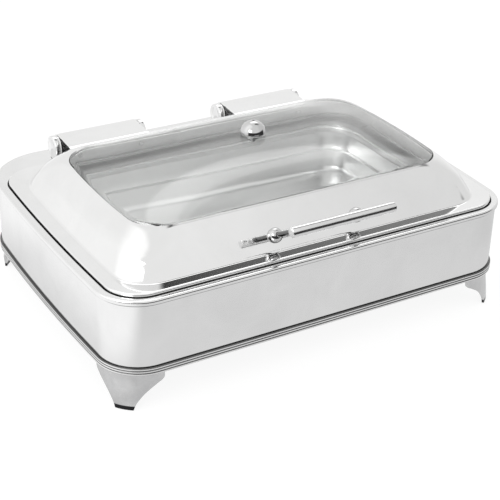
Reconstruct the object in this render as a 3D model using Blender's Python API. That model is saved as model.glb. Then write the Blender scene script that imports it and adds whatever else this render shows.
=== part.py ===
"""Roll top chafer: electric full-size food warmer with a rear-hinged dome lid.

Metres, +Z up, front of the chafer towards -Y.  Everything is laid out about the
upright axis through the middle of the pans; new_object() then shifts it by PAN_Y,
so the origin is on the floor under the middle of the bounding box.
"""
import math

import bmesh
import bpy
from mathutils import Matrix, Vector

GAP = 0.0003          # daylight left between neighbouring pieces
PAN_Y = -0.00825      # where the pans' axis stands in the part's frame
SHEET = 0.001         # stainless sheet
ARC = 7               # steps in a quarter-round corner of the body and lid
PAN_ARC = 6           # steps in a quarter-round corner of the pans

# body: half-length at mid-side, front edge, rear edge, corner radii, bulge of the ends
RIM_A = 0.3105
RIM_F = -0.211
RIM_B = 0.256
RIM_RF = 0.060
RIM_RB = 0.090
BOW = 0.0038
RIM_Z = 0.158
BODY_Z = 0.0515
LEDGE_Z = 0.152

# the well in the body's top that the lid's edge drops into
WELL_A = 0.2988
WELL_F = -0.2014
WELL_B = 0.2026
WELL_R = 0.048

# lid
SKIRT_A = 0.2976
SKIRT_F = -0.2002
SKIRT_B = 0.2012
SKIRT_R = 0.047
FLANGE_Z = 0.1625
DOME_A = 0.278
DOME_Y = 0.1825
DOME_RF = 0.050
DOME_RB = 0.060
WIN_A = 0.2375
WIN_F = -0.1378
WIN_B = 0.1280
WIN_RF = 0.044
WIN_RB = 0.056
WIN_BOW = 0.003
WIN_Z = 0.213
CROWN = 0.032
VENT_Y = -0.0065

# handle
BAR_Y = -0.2325
BAR_Z = 0.217
BAR_R = 0.007
BAR_HALF = 0.0775
POST_X = 0.0625
POST_TILT = math.radians(30.6)
POST_REACH = 0.0708

# hinges
HINGE_Y = 0.220
HINGE_Z = 0.1758
HINGES = (("l", -0.1325), ("r", 0.1390))
HINGE_HALF = 0.0725
CAP_T = 0.007
DRUM_R = 0.0160
PIN_R = 0.0040
BORE_R = 0.00405
LEAF_HALF = 0.0625
LEAF_SCREW = 0.048
LEAF_T = 0.0016

# power inlet on the rear wall
INLET_X = 0.170
INLET_Z = 0.104


def clear_scene():
    for obj in list(bpy.data.objects):
        bpy.data.objects.remove(obj, do_unlink=True)
    for mesh in list(bpy.data.meshes):
        bpy.data.meshes.remove(mesh)
    for mat in list(bpy.data.materials):
        bpy.data.materials.remove(mat)


def material(name, colour, metallic, roughness, clear=0.0):
    mat = bpy.data.materials.new(name)
    mat.use_nodes = True
    shader = mat.node_tree.nodes["Principled BSDF"]
    shader.inputs["Base Color"].default_value = (colour[0], colour[1], colour[2], 1.0)
    shader.inputs["Metallic"].default_value = metallic
    shader.inputs["Roughness"].default_value = roughness
    shader.inputs["Transmission Weight"].default_value = clear
    return mat


def new_object(name, verts, faces, mat, smooth=True, crease=35.0, cutter=False):
    mesh = bpy.data.meshes.new(name)
    moved = [(v[0], v[1] + PAN_Y, v[2]) for v in verts]
    mesh.from_pydata(moved, [], faces)
    bm = bmesh.new()
    bm.from_mesh(mesh)
    bmesh.ops.recalc_face_normals(bm, faces=bm.faces)
    bm.to_mesh(mesh)
    bm.free()
    if smooth:
        mesh.shade_smooth()
        mesh.set_sharp_from_angle(angle=math.radians(crease))
    obj = bpy.data.objects.new(name, mesh)
    bpy.context.collection.objects.link(obj)
    if cutter:
        obj.hide_render = True
        obj.display_type = "WIRE"
    else:
        mesh.materials.append(mat)
    return obj


# ---- outlines -------------------------------------------------------------

def outline(a, front, back, rf, rb, bow=0.0, steps=ARC):
    """Rounded rectangle, anticlockwise from above, with its short ends bulging by bow."""
    pts = []
    y0 = front + rf
    y1 = back - rb
    corners = ((1, y1, rb, 0), (-1, y1, rb, 90), (-1, y0, rf, 180), (1, y0, rf, 270))
    for side, cy, r, start in corners:
        cx = side * (a - bow - r)
        for i in range(steps + 1):
            ang = math.radians(start + 90.0 * i / steps)
            pts.append((cx + r * math.cos(ang), cy + r * math.sin(ang)))
        if bow and start in (90, 270):
            for k in (1, 2, 3):
                t = -1.0 + 0.5 * k
                y = 0.5 * (y0 + y1) + side * 0.5 * (y1 - y0) * t
                pts.append((side * (a - bow * t * t), y))
    return pts


def body_line(inset):
    return outline(RIM_A - inset, RIM_F + inset, RIM_B - inset, RIM_RF - inset,
                   RIM_RB - inset, BOW)


def well_line(inset):
    return outline(WELL_A - inset, WELL_F + inset, WELL_B - inset, WELL_R - inset,
                   WELL_R - inset, BOW)


def skirt_line(inset):
    return outline(SKIRT_A - inset, SKIRT_F + inset, SKIRT_B - inset, SKIRT_R - inset,
                   SKIRT_R - inset, BOW)


def dome_line(inset, rear):
    """The dome leans in a little less at its ends than at its front, and most at the rear."""
    t = min(max(inset / 0.043, 0.0), 1.0)
    rf = DOME_RF + (WIN_RF - DOME_RF) * t
    rb = DOME_RB + (WIN_RB - DOME_RB) * t
    return outline(DOME_A - 0.94 * inset, -DOME_Y + 1.04 * inset, DOME_Y - rear, rf, rb, WIN_BOW)


def window_line(inset):
    return outline(WIN_A - inset, WIN_F + inset, WIN_B - inset, WIN_RF - inset,
                   WIN_RB - inset, WIN_BOW)


def pan_line(inset, a=0.265, b=0.1625, r=0.060):
    rr = max(0.030, r - inset)
    return outline(a - inset, -b + inset, b - inset, rr, rr, 0.0, PAN_ARC)


# ---- solids ---------------------------------------------------------------

def stack(rings, closed=False):
    """Skin between outlines of equal length: [(outline, z), ...]."""
    n = len(rings[0][0])
    verts = []
    for line, z in rings:
        for k in range(n):
            zz = z[k] if isinstance(z, (list, tuple)) else z
            verts.append((line[k][0], line[k][1], zz))
    faces = []
    count = len(rings)
    for i in range(count if closed else count - 1):
        j = (i + 1) % count
        for k in range(n):
            m = (k + 1) % n
            faces.append((i * n + k, i * n + m, j * n + m, j * n + k))
    if not closed:
        faces.append(tuple(reversed(range(n))))
        faces.append(tuple((count - 1) * n + k for k in range(n)))
    return verts, faces


def lathe(profile, place, steps, closed=False):
    """Turn a (radius, height) profile about the local z axis; place maps to the part."""
    verts = []
    for r, h in profile:
        for k in range(steps):
            ang = 2.0 * math.pi * (k + 0.5) / steps
            verts.append(place @ Vector((r * math.cos(ang), r * math.sin(ang), h)))
    faces = []
    count = len(profile)
    for i in range(count if closed else count - 1):
        j = (i + 1) % count
        for k in range(steps):
            m = (k + 1) % steps
            faces.append((i * steps + k, i * steps + m, j * steps + m, j * steps + k))
    if not closed:
        faces.append(tuple(reversed(range(steps))))
        faces.append(tuple((count - 1) * steps + k for k in range(steps)))
    return verts, faces


def join(*solids):
    verts = []
    faces = []
    for vs, fs in solids:
        base = len(verts)
        verts.extend(vs)
        faces.extend(tuple(base + i for i in f) for f in fs)
    return verts, faces


def box(x0, x1, y0, y1, z0, z1):
    verts = [(x, y, z) for z in (z0, z1) for x, y in ((x0, y0), (x1, y0), (x1, y1), (x0, y1))]
    faces = [(0, 3, 2, 1), (4, 5, 6, 7), (0, 1, 5, 4), (1, 2, 6, 5), (2, 3, 7, 6), (3, 0, 4, 7)]
    return verts, faces


def prism(section, x0, x1):
    """A (y, z) section carried along x."""
    n = len(section)
    verts = [(x, y, z) for x in (x0, x1) for y, z in section]
    faces = [(k, (k + 1) % n, n + (k + 1) % n, n + k) for k in range(n)]
    faces.append(tuple(range(n)))
    faces.append(tuple(n + k for k in reversed(range(n))))
    return verts, faces


def upright(x, y, z):
    return Matrix.Translation((x, y, z))


def along_x(x, y, z, sign=1.0):
    return Matrix.Translation((x, y, z)) @ Matrix.Rotation(sign * math.pi / 2.0, 4, "Y")


def aimed(x, y, z, direction):
    turn = Vector((0.0, 0.0, 1.0)).rotation_difference(direction).to_matrix().to_4x4()
    return Matrix.Translation((x, y, z)) @ turn


def cut(obj, cutter):
    mod = obj.modifiers.new(cutter.name, "BOOLEAN")
    mod.operation = "DIFFERENCE"
    mod.solver = "EXACT"
    mod.object = cutter


def screw_profile(shank_r, length, head_r, head_h):
    """Head below z=0 (domed), shank above it."""
    return [(head_r * 0.45, -head_h), (head_r * 0.85, -head_h * 0.72), (head_r, -head_h * 0.2),
            (head_r, 0.0), (shank_r, 0.0), (shank_r, length)]


# ---- body -----------------------------------------------------------------

def cover_screw_spots():
    return [(sx * 0.150, y) for sx in (-1, 1) for y in (RIM_F + 0.0262, RIM_B - 0.0262)]


def cap_screw_spots():
    reach = HINGE_HALF - 0.5 * CAP_T
    return [mid + side * reach for tag, mid in HINGES for side in (-1, 1)]


def base_body(mat):
    opening = outline(0.272, -0.174, 0.174, 0.060, 0.060, 0.0001)
    rings = [
        (body_line(0.0030), BODY_Z), (body_line(0.0030), RIM_Z - 0.0065),
        (body_line(0.0006), RIM_Z - 0.0065), (body_line(0.0), RIM_Z - 0.0057),
        (body_line(0.0), RIM_Z - 0.0024), (body_line(0.0007), RIM_Z - 0.0008),
        (body_line(0.0024), RIM_Z), (well_line(-0.0016), RIM_Z),
        (well_line(-0.0004), RIM_Z - 0.0005), (well_line(0.0), RIM_Z - 0.0016),
        (well_line(0.0), LEDGE_Z), (opening, LEDGE_Z), (opening, LEDGE_Z - SHEET),
        (well_line(-SHEET), LEDGE_Z - SHEET), (well_line(-SHEET), RIM_Z - SHEET),
        (body_line(0.0026), RIM_Z - SHEET), (body_line(0.0011), RIM_Z - 0.0026),
        (body_line(0.0011), RIM_Z - 0.0055), (body_line(0.0040), RIM_Z - 0.0055),
        (body_line(0.0040), BODY_Z + SHEET), (body_line(0.0300), BODY_Z + SHEET),
        (body_line(0.0300), BODY_Z),
    ]
    verts, faces = stack(rings, closed=True)
    body = new_object("base_body", verts, faces, mat)
    holes = []
    for x, y in cover_screw_spots():
        holes.append(lathe([(0.0023, -0.004), (0.0023, 0.004)], upright(x, y, BODY_Z), 12))
    for x in cap_screw_spots():
        holes.append(lathe([(0.0023, -0.004), (0.0023, 0.004)], upright(x, HINGE_Y, RIM_Z), 12))
    holes.append(box(INLET_X - 0.0143, INLET_X + 0.0143, RIM_B - 0.010, RIM_B + 0.004,
                     INLET_Z - 0.0108, INLET_Z + 0.0108))
    verts, faces = join(*holes)
    cut(body, new_object("cut_base", verts, faces, None, cutter=True))


def bead_trim(mat):
    """Three half-round beads round the foot of the wall."""
    z = BODY_Z
    rings = [(body_line(0.0027), z)]
    pitch = 0.0035
    for k in range(3):
        base = z + k * pitch
        rings.append((body_line(0.0012 if k else 0.0010), base))
        rings.append((body_line(0.0), base + 0.0010))
        rings.append((body_line(0.0), base + 0.0025))
    rings.append((body_line(0.0010), z + 3 * pitch))
    rings.append((body_line(0.0027), z + 3 * pitch))
    verts, faces = stack(rings, closed=True)
    new_object("bead_trim", verts, faces, mat, crease=50.0)


def corner_point(sx, sy, s, inset):
    """Point s metres round from the middle of a body corner, moved in by inset."""
    r = RIM_RF if sy < 0 else RIM_RB
    cx = sx * (RIM_A - BOW - r)
    cy = RIM_F + r if sy < 0 else RIM_B - r
    half = r * math.pi / 4.0
    t = min(max(s, -half), half)
    ang = math.atan2(sy, sx) + t / r
    rr = r - inset
    x = cx + rr * math.cos(ang) - math.sin(ang) * (s - t)
    y = cy + rr * math.sin(ang) + math.cos(ang) * (s - t)
    return x, y


def foot(name, sx, sy, mat):
    """Cast corner foot: wraps the corner, ogee sides running down to a narrow toe."""
    wall = 0.0032
    top = BODY_Z - GAP
    rows = [(0.0, 0.0125, 0.0), (0.0060, 0.0145, 0.0003), (0.0130, 0.0185, 0.0010),
            (0.0225, 0.0265, 0.0021), (0.0295, 0.0355, 0.0031), (0.0350, 0.0455, 0.0038),
            (0.0385, 0.0525, 0.0042), (0.0425, 0.0560, 0.0045), (top, 0.0560, 0.0046)]
    cols = [-1.0, -0.75, -0.5, -0.25, 0.0, 0.25, 0.5, 0.75, 1.0]
    verts = []
    loop = []
    for z, w, inset in rows:
        loop.append((z, w, inset))
    loop.append((top, 0.0560, 0.0190))
    loop.append((top - wall, 0.0560, 0.0190))
    loop.append((top - wall, 0.0560, 0.0046 + wall))
    for z, w, inset in reversed(rows[:-1]):
        loop.append((z, w, inset + wall))
    n = len(loop)
    for t in cols:
        for z, w, inset in loop:
            x, y = corner_point(sx, sy, t * w, inset)
            verts.append((x, y, z))
    faces = []
    for c in range(len(cols) - 1):
        for k in range(n):
            m = (k + 1) % n
            faces.append((c * n + k, c * n + m, (c + 1) * n + m, (c + 1) * n + k))
    last = len(rows) - 1
    for c in (0, len(cols) - 1):
        b = c * n
        for k in range(last - 1):
            faces.append((b + k, b + k + 1, b + n - 2 - k, b + n - 1 - k))
        faces.append((b + last - 1, b + last, b + last + 3, b + last + 4))
        faces.append((b + last, b + last + 1, b + last + 2, b + last + 3))
    new_object(name, verts, faces, mat)


def base_cover(mat):
    z1 = BODY_Z - GAP
    rings = [(body_line(0.0226), z1 - 0.0012), (body_line(0.0226), z1)]
    verts, faces = stack(rings)
    cover = new_object("base_cover", verts, faces, mat)
    holes = [lathe([(0.0023, -0.004), (0.0023, 0.004)], upright(x, y, z1), 12)
             for x, y in cover_screw_spots()]
    verts, faces = join(*holes)
    cut(cover, new_object("cut_cover", verts, faces, None, cutter=True))
    spots = cover_screw_spots()
    for i, (x, y) in enumerate(spots):
        profile = screw_profile(0.0019, 0.0060, 0.0040, 0.0022)
        verts, faces = lathe(profile, upright(x, y, z1 - 0.0012 - GAP), 12)
        new_object("cover_screw_%d" % (i + 1), verts, faces, bpy.data.materials["screw_steel"])


def heater_plate(mat):
    """Element plate pressed up under the water pan, on its own turned-down edge."""
    def line(inset):
        return outline(0.150 - inset, -0.090 + inset, 0.090 - inset, 0.030 - inset,
                       0.030 - inset, 0.0, PAN_ARC)
    rings = [(line(0.0035), 0.0567), (line(0.0018), 0.0562), (line(0.0018), BODY_Z + SHEET - 0.0010),
             (line(0.0), BODY_Z + SHEET - 0.0010), (line(0.0), 0.0582), (line(0.0015), 0.0597)]
    verts, faces = stack(rings)
    new_object("heater_plate", verts, faces, mat)


def power_inlet(mat):
    """Panel inlet: flange outside the rear wall, moulded box through it, three pins."""
    wall_out = RIM_B - 0.0030
    x, z = INLET_X, INLET_Z
    flange = box(x - 0.0240, x + 0.0240, wall_out + GAP, wall_out + 0.0020, z - 0.0140, z + 0.0140)
    verts, faces = flange
    inlet = new_object("power_inlet", verts, faces, mat, smooth=False)
    shell = new_object("inlet_shell", *box(x - 0.0140, x + 0.0140, wall_out - 0.0200,
                       wall_out + 0.0010, z - 0.0105, z + 0.0105), None, cutter=True)
    add = inlet.modifiers.new("shell", "BOOLEAN")
    add.operation = "UNION"
    add.solver = "EXACT"
    add.object = shell
    cut(inlet, new_object("inlet_socket", *box(x - 0.0120, x + 0.0120, wall_out - 0.0160,
                          wall_out + 0.0040, z - 0.0082, z + 0.0082), None, cutter=True))
    pins = []
    for px, pz in ((-0.0070, -0.0020), (0.0070, -0.0020), (0.0, 0.0020)):
        pins.append(box(x + px - 0.0010, x + px + 0.0010, wall_out - 0.0180, wall_out - 0.0060,
                        z + pz - 0.0020, z + pz + 0.0020))
    verts, faces = join(*pins)
    blades = new_object("inlet_pins", verts, faces, None, cutter=True)
    add = inlet.modifiers.new("pins", "BOOLEAN")
    add.operation = "UNION"
    add.solver = "EXACT"
    add.object = blades


# ---- pans -----------------------------------------------------------------

def water_pan(mat):
    def line(a, b, r):
        return outline(a, -b, b, r, r, 0.0, PAN_ARC)
    rings = [
        (line(0.2430, 0.1420, 0.040), 0.0600), (line(0.2472, 0.1462, 0.044), 0.0610),
        (line(0.2500, 0.1490, 0.047), 0.0650), (line(0.2585, 0.1560, 0.056), 0.1498),
        (line(0.2608, 0.1582, 0.058), 0.1523), (line(0.2880, 0.1900, 0.062), 0.1523),
        (line(0.2880, 0.1900, 0.062), 0.1533), (line(0.2603, 0.1577, 0.058), 0.1533),
        (line(0.2575, 0.1550, 0.055), 0.1502), (line(0.2490, 0.1480, 0.046), 0.0655),
        (line(0.2466, 0.1456, 0.043), 0.0620), (line(0.2430, 0.1420, 0.040), 0.0610),
    ]
    verts, faces = stack(rings)
    new_object("water_pan", verts, faces, mat)


def food_pan(mat):
    """Full-size pan: flat rim with a rolled edge, stacking shoulder part way down."""
    outer = [(0.0360, 0.0880), (0.0275, 0.0902), (0.0243, 0.0975), (0.0215, 0.1238),
             (0.0183, 0.1262), (0.0145, 0.1505), (0.0112, 0.1552), (0.0030, 0.1552),
             (0.0030, 0.1541), (0.0018, 0.1536), (0.0004, 0.1543), (0.0, 0.1552),
             (0.0006, 0.1560), (0.0018, 0.1562), (0.0120, 0.1562)]
    inner = [(0.0155, 0.1505), (0.0193, 0.1256), (0.0225, 0.1234), (0.0253, 0.0980),
             (0.0283, 0.0910), (0.0360, 0.0890)]
    rings = [(pan_line(d), z) for d, z in outer + inner]
    verts, faces = stack(rings)
    new_object("food_pan", verts, faces, mat)


# ---- lid ------------------------------------------------------------------

# (inset at front and ends, inset at the rear, height) up the outside of the dome
DOME = [(0.0010, 0.0010, 0.1640), (0.0050, 0.0055, 0.1715), (0.0140, 0.0170, 0.1871),
        (0.0195, 0.0225, 0.1925), (0.0305, 0.0345, 0.2035), (0.0400, 0.0480, 0.2103)]


def dome_inside():
    """The dome's inner skin, one sheet thickness in along the slope."""
    inside = []
    for i, (d, rear, z) in enumerate(DOME):
        a = DOME[max(i - 1, 0)]
        b = DOME[min(i + 1, len(DOME) - 1)]
        dd = b[0] - a[0]
        dz = b[2] - a[2]
        size = math.hypot(dd, dz)
        inside.append((d + SHEET * dz / size, rear + SHEET * dz / size, z - SHEET * dd / size))
    return inside


def post_frame():
    direction = Vector((0.0, -math.cos(POST_TILT), math.sin(POST_TILT)))
    foot_at = Vector((0.0, BAR_Y, BAR_Z)) - direction * POST_REACH
    return foot_at, direction


def leaf_screw_spots():
    """Where the screws cross the lid's rear wall, and which way they point (outwards)."""
    run = Vector((0.0, 0.0115, -0.0156)).normalized()
    normal = Vector((0.0, -run.z, run.y)) * 1.0
    if normal.y < 0.0:
        normal = -normal
    centre = Vector((0.0, 0.1770 - (0.1790 - 0.1715) * 0.0115 / 0.0156, 0.1790))
    xs = [mid + side * LEAF_SCREW for tag, mid in HINGES for side in (-1, 1)]
    return xs, centre, run, normal


def lid_shell(mat):
    rings = [(skirt_line(0.0), LEDGE_Z + GAP), (skirt_line(0.0), FLANGE_Z - 0.0014),
             (skirt_line(0.0014), FLANGE_Z), (dome_line(-0.0008, -0.0008), FLANGE_Z)]
    rings += [(dome_line(d, rear), z) for d, rear, z in DOME]
    rings += [(window_line(-0.0010), WIN_Z - 0.0006), (window_line(0.0), WIN_Z - 0.0004),
              (window_line(0.0), 0.2072), (window_line(0.0110), 0.2072),
              (window_line(0.0110), 0.2062), (window_line(-0.0010), 0.2062),
              (window_line(-0.0010), 0.2088)]
    rings += [(dome_line(d, rear), z) for d, rear, z in reversed(dome_inside())]
    rings += [(dome_line(0.0002, 0.0002), FLANGE_Z - SHEET), (skirt_line(0.0016), FLANGE_Z - SHEET),
              (skirt_line(SHEET), FLANGE_Z - 0.0017), (skirt_line(SHEET), LEDGE_Z + GAP)]
    verts, faces = stack(rings, closed=True)
    lid = new_object("lid_shell", verts, faces, mat, crease=30.0)
    holes = []
    foot_at, direction = post_frame()
    for side in (-1, 1):
        p = foot_at + Vector((side * POST_X, 0.0, 0.0))
        holes.append(lathe([(0.0037, -0.006), (0.0037, 0.006)],
                           aimed(p.x, p.y, p.z, direction), 16))
    xs, centre, run, normal = leaf_screw_spots()
    for x in xs:
        holes.append(lathe([(0.0023, -0.006), (0.0023, 0.006)],
                           aimed(x, centre.y, centre.z, normal), 12))
    verts, faces = join(*holes)
    cut(lid, new_object("cut_lid", verts, faces, None, cutter=True))


def crown_line(k, z0):
    """Outline at fraction k of the window, with the height of the crowned glass over it."""
    mid = 0.5 * (WIN_F + WIN_B)
    half_x = WIN_A - 0.0011
    half_y = 0.5 * (WIN_B - WIN_F) - 0.0011
    line = []
    heights = []
    for x, y in window_line(0.0011):
        px = x * k
        py = y * k + VENT_Y * (1.0 - k)
        rise = 1.0 - min(abs(px) / half_x, 1.0) ** 2.6
        rise *= 1.0 - min(abs(py - mid) / half_y, 1.0) ** 2.8
        line.append((px, py))
        heights.append(z0 + (CROWN * rise if k < 1.0 else 0.0))
    return line, heights


def lid_glass(mat):
    """Crowned toughened window with a hole for the vent."""
    steps = [1.0, 0.93, 0.84, 0.72, 0.56, 0.36, 0.16]
    top = [crown_line(k, WIN_Z) for k in steps]
    under = [crown_line(k, WIN_Z - 0.0040) for k in steps]
    n = len(top[0][0])
    hole = []
    for k in range(n):
        ang = 2.0 * math.pi * (k + 0.5) / n + math.radians(12.0)
        hole.append((0.0045 * math.cos(ang), VENT_Y + 0.0045 * math.sin(ang)))
    rings = top + [(hole, WIN_Z + CROWN)] + [(hole, WIN_Z + CROWN - 0.0040)] + under[::-1]
    verts, faces = stack(rings, closed=True)
    new_object("lid_glass", verts, faces, mat)


def glass_gasket(mat):
    """Angle seal: lies on the lid's lip and stands up round the edge of the glass."""
    rings = [(window_line(0.0100), 0.2075), (window_line(0.0003), 0.2075),
             (window_line(0.0003), 0.2124), (window_line(0.0008), 0.2124),
             (window_line(0.0008), 0.2087), (window_line(0.0100), 0.2087)]
    verts, faces = stack(rings, closed=True)
    new_object("glass_gasket", verts, faces, mat, smooth=False)


def vent(mat_chrome, mat_rubber):
    """Half-ball vent button on a hollow stem, its washer above the glass, nut below."""
    glass_top = WIN_Z + CROWN
    base = glass_top + 0.0016
    height = 0.2648 - base
    r = 0.0178
    profile = [(0.0016, 0.2325), (0.0040, 0.2325), (0.0040, base), (0.0172, base),
               (r, base + 0.0009)]
    for k in range(1, 6):
        ang = math.radians(15.0 * k)
        profile.append((r * math.cos(ang), base + 0.0009 + (height - 0.0009) * math.sin(ang)))
    profile.append((0.0016, 0.2648 - 0.0001))
    verts, faces = lathe(profile, upright(0.0, VENT_Y, 0.0), 20, closed=True)
    new_object("vent_cap", verts, faces, mat_chrome)
    washer = [(0.0043, glass_top + GAP), (0.0110, glass_top + GAP),
              (0.0110, base - GAP), (0.0043, base - GAP)]
    verts, faces = lathe(washer, upright(0.0, VENT_Y, 0.0), 20, closed=True)
    new_object("vent_washer", verts, faces, mat_rubber)
    nut_top = glass_top - 0.0040 - GAP
    nut_ring(("vent_nut"), upright(0.0, VENT_Y, nut_top), 0.0075, 0.0043, 0.0040, mat_chrome)


def nut_ring(name, place, corner_r, bore_r, depth, mat):
    """Hexagon nut: 24-sided ring whose outer corners fall on a hexagon."""
    verts = []
    sides = 12
    for r, h in ((0, 0.0), (1, 0.0), (1, -depth), (0, -depth)):
        for k in range(sides):
            ang = 2.0 * math.pi * k / sides
            if r:
                rad = corner_r if k % 2 == 0 else corner_r * math.cos(math.pi / 6.0)
            else:
                rad = bore_r / math.cos(math.pi / sides)
            verts.append(place @ Vector((rad * math.cos(ang), rad * math.sin(ang), h)))
    faces = []
    for i in range(4):
        j = (i + 1) % 4
        for k in range(sides):
            m = (k + 1) % sides
            faces.append((i * sides + k, i * sides + m, j * sides + m, j * sides + k))
    new_object(name, verts, faces, mat, smooth=False)


def handle(mat_bar, mat_chrome):
    """Grip bar on two studs that pass through domed rosettes and the lid's front."""
    foot_at, direction = post_frame()
    profile = [(BAR_R - 0.0008, -BAR_HALF), (BAR_R, -BAR_HALF + 0.0008),
               (BAR_R, BAR_HALF - 0.0008), (BAR_R - 0.0008, BAR_HALF)]
    verts, faces = lathe(profile, along_x(0.0, BAR_Y, BAR_Z), 20)
    bar = new_object("handle_bar", verts, faces, mat_bar)
    holes = []
    for side, tag in ((-1, "l"), (1, "r")):
        p = foot_at + Vector((side * POST_X, 0.0, 0.0))
        place = aimed(p.x, p.y, p.z, direction)
        holes.append(lathe([(0.0037, POST_REACH - 0.0035), (0.0037, POST_REACH - 0.0120)],
                           place, 16))
        post = [(0.0034, -0.0085), (0.0034, POST_REACH - 0.0039)]
        verts, faces = lathe(post, place, 16)
        new_object("handle_post_" + tag, verts, faces, mat_chrome)
        rosette = [(0.0037, 0.0004), (0.0100, 0.0004), (0.0100, 0.0012)]
        for ang in (22.5, 45.0, 62.0):
            a = math.radians(ang)
            rosette.append((0.0100 * math.cos(a), 0.0012 + 0.0092 * math.sin(a)))
        rosette.append((0.0037, 0.0097))
        verts, faces = lathe(rosette, place, 20, closed=True)
        new_object("handle_rosette_" + tag, verts, faces, mat_chrome)
        inner = aimed(p.x, p.y, p.z, direction) @ Matrix.Translation((0.0, 0.0, -0.0018))
        nut_ring("handle_nut_" + tag, inner, 0.0075, 0.0037, 0.0035, mat_chrome)
    verts, faces = join(*holes)
    cut(bar, new_object("cut_bar", verts, faces, None, cutter=True))


# ---- hinges ---------------------------------------------------------------

def hinge_cap(name, side, x_in, x_out, mat, pin_from):
    """End bearing: a disc with a flat foot on the body's rear ledge, blind bore for the pin."""
    r = 0.0172
    section = []
    steps = 24
    for k in range(steps):
        deg = -50.0 + 280.0 * k / (steps - 1)
        ang = math.radians(deg)
        section.append((r * math.cos(ang), r * math.sin(ang)))
    flat = RIM_Z + GAP - HINGE_Z
    section.append((section[-1][0], flat))
    section.append((section[0][0], flat))
    edge = 0.0010
    rings = []
    for x, scale in ((x_in, 1.0), (x_out - edge, 1.0), (x_out, 0.945)):
        line = []
        for y, z in section:
            zz = z if z <= flat + 1e-9 else z * scale
            line.append((side * x, HINGE_Y + y * scale, HINGE_Z + zz))
        rings.append(line)
    n = len(section)
    verts = [v for line in rings for v in line]
    faces = []
    for i in range(2):
        for k in range(n):
            m = (k + 1) % n
            faces.append((i * n + k, i * n + m, (i + 1) * n + m, (i + 1) * n + k))
    faces.append(tuple(range(n)))
    faces.append(tuple(2 * n + k for k in range(n)))
    cap = new_object(name, verts, faces, mat)
    bore = lathe([(PIN_R + GAP, -0.0050), (PIN_R + GAP, 0.0050)],
                 along_x(side * pin_from, HINGE_Y, HINGE_Z), 16)
    tap = lathe([(0.0022, -0.002), (0.0022, 0.0065)],
                upright(side * 0.5 * (x_in + x_out), HINGE_Y, RIM_Z), 12)
    verts, faces = join(bore, tap)
    cut(cap, new_object("cut_" + name, verts, faces, None, cutter=True))


def leaf_section():
    """Sheet section in (y, z): over the drum, forward to the lid, down its rear wall."""
    mid_r = 0.0166 + 0.5 * LEAF_T
    mid = []
    for deg in (25.0, 42.0, 59.0, 76.0, 95.0):
        ang = math.radians(deg)
        mid.append(Vector((HINGE_Y + mid_r * math.cos(ang), HINGE_Z + mid_r * math.sin(ang))))
    xs, centre, run, normal = leaf_screw_spots()
    stand = GAP + 0.5 * LEAF_T

    def on_wall(z):
        y = 0.1770 - (z - 0.1715) * 0.0115 / 0.0156
        return Vector((y + normal.y * stand, z + normal.z * stand))
    knee = on_wall(0.1856)
    mid.append(Vector((knee.x + 0.0046, 0.18905)))
    mid.append(Vector((knee.x + 0.0012, 0.1882)))
    mid.append(knee)
    mid.append(on_wall(0.1732))
    above = []
    below = []
    for i, p in enumerate(mid):
        a = mid[max(i - 1, 0)]
        b = mid[min(i + 1, len(mid) - 1)]
        d1 = (p - a).normalized() if i else (b - p).normalized()
        d2 = (b - p).normalized() if i < len(mid) - 1 else d1
        n1 = Vector((-d1.y, d1.x))
        n2 = Vector((-d2.y, d2.x))
        m = (n1 + n2).normalized()
        reach = 0.5 * LEAF_T / max(m.dot(n1), 0.4)
        above.append(p - m * reach)
        below.append(p + m * reach)
    return [(v.x, v.y) for v in above] + [(v.x, v.y) for v in reversed(below)]


def hinge(tag, mid, mats):
    """One hinge: two end caps on the body, a pin held between them, drum and leaf on the lid."""
    chrome, steel = mats
    side = -1 if mid < 0.0 else 1
    near = abs(mid) - HINGE_HALF
    far = abs(mid) + HINGE_HALF
    hinge_cap("hinge_cap_%s_in" % tag, side, near + CAP_T, near, chrome, near + CAP_T)
    hinge_cap("hinge_cap_%s_out" % tag, side, far - CAP_T, far, chrome, far - CAP_T)
    half = HINGE_HALF - CAP_T + 0.0046
    verts, faces = lathe([(PIN_R - 0.0004, -half), (PIN_R, -half + 0.0004),
                          (PIN_R, half - 0.0004), (PIN_R - 0.0004, half)],
                         along_x(mid, HINGE_Y, HINGE_Z), 24)
    new_object("hinge_pin_" + tag, verts, faces, steel)
    half = HINGE_HALF - CAP_T - GAP
    verts, faces = lathe([(BORE_R, -half), (DRUM_R, -half), (DRUM_R, half), (BORE_R, half)],
                         along_x(mid, HINGE_Y, HINGE_Z), 24, closed=True)
    new_object("hinge_drum_" + tag, verts, faces, chrome)
    verts, faces = prism(leaf_section(), mid - LEAF_HALF, mid + LEAF_HALF)
    leaf = new_object("hinge_leaf_" + tag, verts, faces, bpy.data.materials["lid_steel"])
    xs, centre, run, normal = leaf_screw_spots()
    holes = []
    for i, x in enumerate(sorted((x for x in xs if x * side > 0), key=abs)):
        holes.append(lathe([(0.0023, -0.004), (0.0023, 0.004)],
                           aimed(x, centre.y, centre.z, normal), 12))
        head = aimed(x, centre.y, centre.z, normal) @ Matrix.Translation((0, 0, -0.0013))
        verts, faces = lathe(screw_profile(0.0019, 0.0036, 0.0038, 0.0024), head, 12)
        new_object("leaf_screw_%s_%d" % (tag, i + 1), verts, faces, steel)
    verts, faces = join(*holes)
    cut(leaf, new_object("cut_leaf_" + tag, verts, faces, None, cutter=True))
    for i, x in enumerate((near + 0.5 * CAP_T, far - 0.5 * CAP_T)):
        place = upright(side * x, HINGE_Y, RIM_Z - SHEET - GAP)
        verts, faces = lathe(screw_profile(0.0019, 0.0068, 0.0032, 0.0022), place, 12)
        new_object("cap_screw_%s_%d" % (tag, i + 1), verts, faces, steel)


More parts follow.
